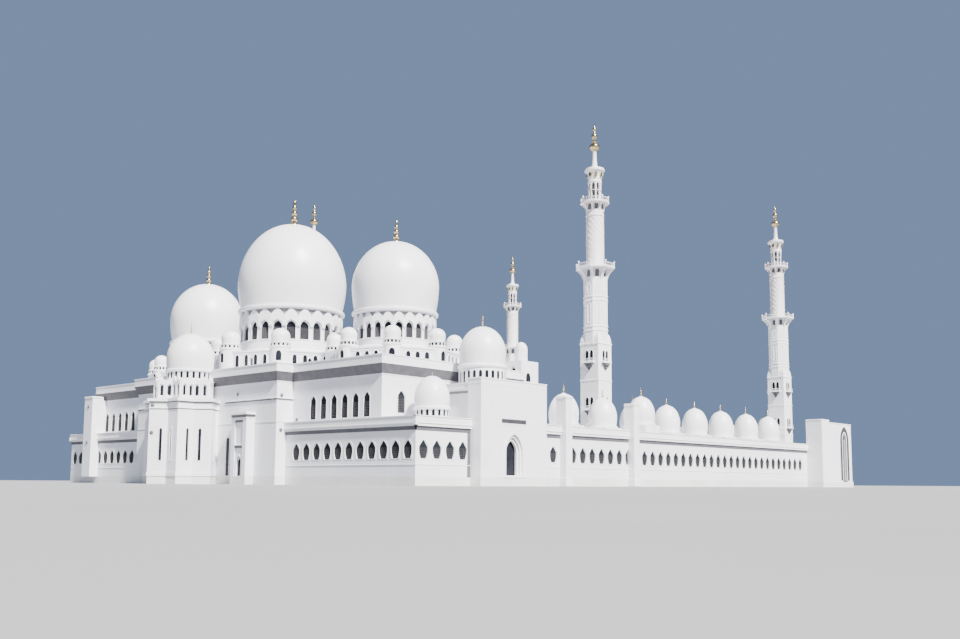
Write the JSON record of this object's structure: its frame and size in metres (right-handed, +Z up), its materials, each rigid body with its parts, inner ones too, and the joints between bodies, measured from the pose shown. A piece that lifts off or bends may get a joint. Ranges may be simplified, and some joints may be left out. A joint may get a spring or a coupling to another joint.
{
  "type": "1:10 scale model of a mosque building",
  "caption": "White marble mosque: domed prayer hall, tall slender minarets and an arcaded courtyard, as a 1:10 scale model.",
  "frame": {"origin": "centre of the plan's bounding box at ground level", "axes": "+X from the prayer wall through the hall to the courtyard's entrance gate, +Y across the building, +Z up"},
  "size_m": [24.911, 17.1, 10.88],
  "materials": {
    "white_marble": "honed",
    "dome_marble": "honed",
    "floor_marble": "polished",
    "tower_marble": "honed",
    "gilding": "polished"
  },
  "bodies": {
    "root": {"aisle_roof_north": "dome_marble", "aisle_roof_south": "dome_marble", "aisle_wall_north": "white_marble", "aisle_wall_south": "white_marble", "arcade_colonnade_north": "white_marble", "arcade_colonnade_south": "white_marble", "arcade_roof_north": "dome_marble", "arcade_roof_south": "dome_marble", "arcade_wall_north": "white_marble", "arcade_wall_south": "white_marble", "corner_tower_north": "dome_marble", "corner_tower_south": "dome_marble", "courtyard_floor": "floor_marble", "east_colonnade": "white_marble", "east_roof": "dome_marble", "east_wall": "white_marble", "gate_minaret_north_shaft": "tower_marble", "gate_minaret_north_spire": "gilding", "gate_minaret_north_tower": "white_marble", "gate_minaret_south_shaft": "tower_marble", "gate_minaret_south_spire": "gilding", "gate_minaret_south_tower": "white_marble", "great_dome": "dome_marble", "great_drum": "white_marble", "great_finial": "gilding", "great_podium": "white_marble", "hall_court_wall": "white_marble", "hall_floor": "floor_marble", "hall_minaret_north_shaft": "tower_marble", "hall_minaret_north_spire": "gilding", "hall_minaret_north_tower": "white_marble", "hall_minaret_south_shaft": "tower_marble", "hall_minaret_south_spire": "gilding", "hall_minaret_south_tower": "white_marble", "hall_roof": "white_marble", "hall_wall_north": "white_marble", "hall_wall_south": "white_marble", "niche_dome": "dome_marble", "niche_tier": "white_marble", "niche_walls": "white_marble", "north_dome": "dome_marble", "north_drum": "white_marble", "north_finial": "gilding", "north_podium": "white_marble", "portal_dome_north": "dome_marble", "portal_dome_south": "dome_marble", "portal_front_north": "white_marble", "portal_front_south": "white_marble", "portal_hall_north": "white_marble", "portal_hall_south": "white_marble", "prayer_wall": "white_marble", "south_dome": "dome_marble", "south_drum": "white_marble", "south_finial": "gilding", "south_podium": "white_marble"}
  },
  "joints": []
}
